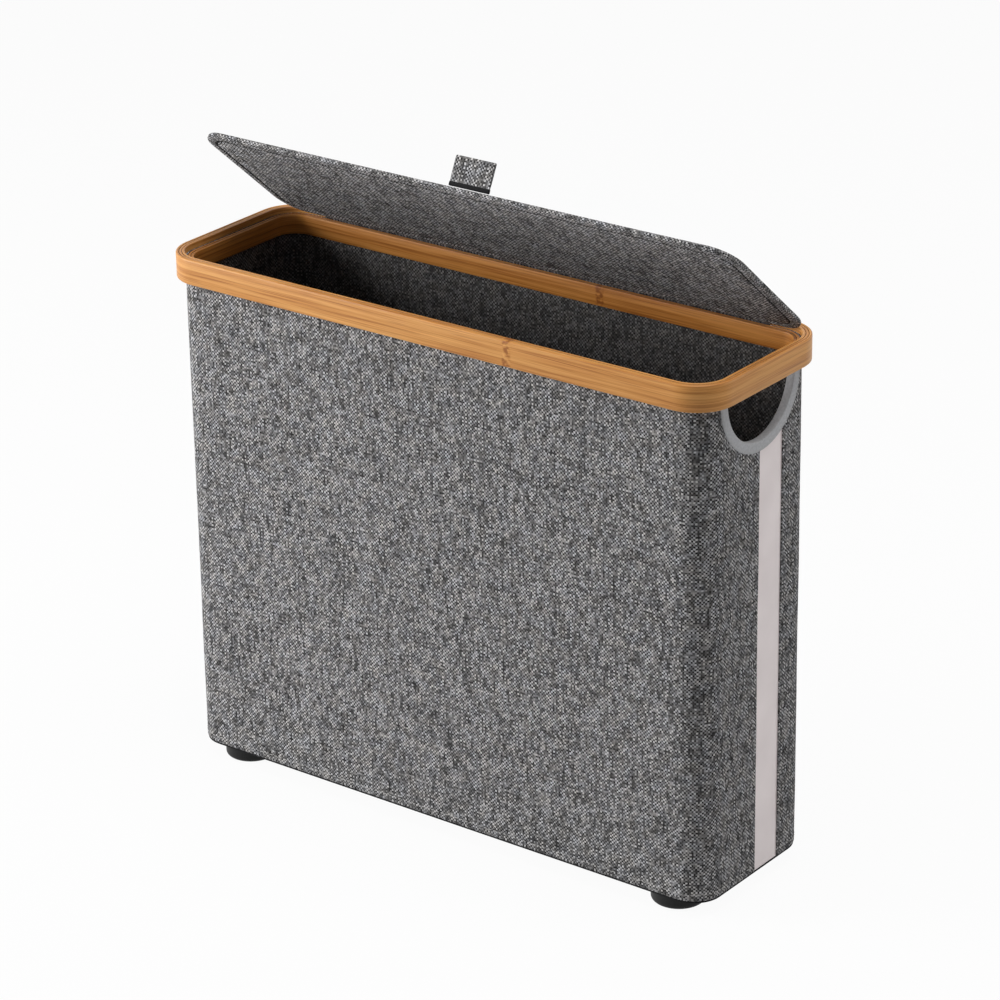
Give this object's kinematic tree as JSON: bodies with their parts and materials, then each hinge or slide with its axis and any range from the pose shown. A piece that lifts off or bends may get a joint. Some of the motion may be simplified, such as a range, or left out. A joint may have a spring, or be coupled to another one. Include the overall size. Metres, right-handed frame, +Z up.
{
  "type": "toilet roll storage bin",
  "caption": "Slim free-standing fabric storage bin with a bamboo rim, a half-moon hand cut-out, a see-through strip in one end and a cloth-hinged lid with a pull tab.",
  "frame": {"origin": "centre of the bin's plan, on the floor under the feet", "axes": "+X along the bin towards the end with the hand cut-out, -Y is the front, +Y the hinge side, +Z up"},
  "size_m": [0.46, 0.14, 0.4852],
  "materials": {
    "bamboo": "satin lacquered bamboo strip, long grain",
    "grey_fabric": "heathered plain-weave cloth",
    "dark_cloth": "near-black non-woven lining",
    "stiffener": "dense grey board",
    "fibreboard": "plain fibreboard",
    "clear_film": "milky translucent soft film",
    "binding_tape": "smooth woven tape",
    "black_plastic": "moulded matte black",
    "screw_steel": "zinc plated"
  },
  "bodies": {
    "bin": {"rim_outer_hoop": "bamboo", "rim_inner_hoop": "bamboo", "outer_cover": "grey_fabric", "base_cover": "dark_cloth", "lining_sleeve": "dark_cloth", "lining_floor": "dark_cloth", "hinge_strip_rim_leaf": "dark_cloth", "front_board": "stiffener", "back_board": "stiffener", "left_end_board": "stiffener", "right_end_board_front": "stiffener", "right_end_board_back": "stiffener", "base_board": "fibreboard", "window_sheet": "clear_film", "handle_binding": "binding_tape", "foot_front_left": "black_plastic", "foot_front_right": "black_plastic", "foot_back_left": "black_plastic", "foot_back_right": "black_plastic", "foot_screws": "screw_steel"},
    "lid": {"lid_board": "stiffener", "lid_top_cover": "grey_fabric", "lid_under_panel": "grey_fabric", "hinge_strip_lid_leaf": "dark_cloth"},
    "tab": {"pull_tab": "grey_fabric"}
  },
  "joints": [
    {"name": "lid_hinge", "type": "hinge", "parent": "bin", "child": "lid", "pos_m": [0, 0.06215, 0.38645], "axis": [-1, 0, 0], "range_deg": [-41, 129]},
    {"name": "tab_flex", "type": "hinge", "parent": "lid", "child": "tab", "pos_m": [0.01, -0.0281, 0.46623], "axis": [1, 0, 0], "range_deg": [-100, 70]}
  ]
}
